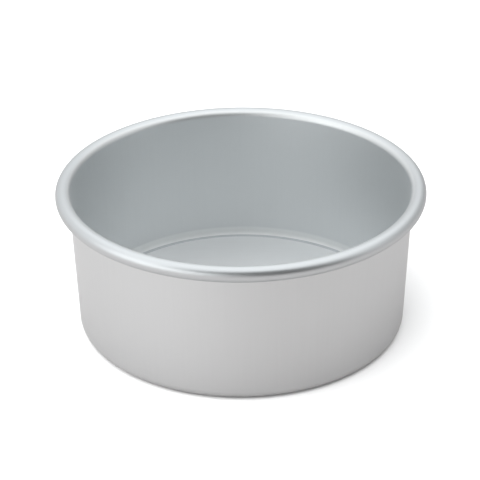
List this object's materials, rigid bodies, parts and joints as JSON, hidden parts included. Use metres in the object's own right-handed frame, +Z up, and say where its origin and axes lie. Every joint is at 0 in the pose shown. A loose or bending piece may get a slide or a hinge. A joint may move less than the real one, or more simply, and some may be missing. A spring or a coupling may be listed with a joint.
{
  "type": "round cake tin",
  "caption": "Deep round cake tin with a rolled rim, slightly drafted wall, rounded foot and a loose flat base that lifts out.",
  "frame": {"origin": "centre of the tin's foot, in the plane of the table that it stands on", "axes": "+Z up, along the tin's axis; X and Y lie in the table plane and are alike, because the tin is round"},
  "size_m": [0.218, 0.218, 0.09],
  "materials": {
    "shell": "satin anodised, fine matt texture, burnished on the rolled rim",
    "base": "satin anodised, fine matt texture"
  },
  "bodies": {
    "tin": {"tin_shell": "shell"},
    "base": {"loose_base": "base"}
  },
  "joints": [
    {"name": "base_lift", "type": "slide", "parent": "tin", "child": "base", "axis": [0, 0, 1], "range_m": [0, 0.1]}
  ]
}
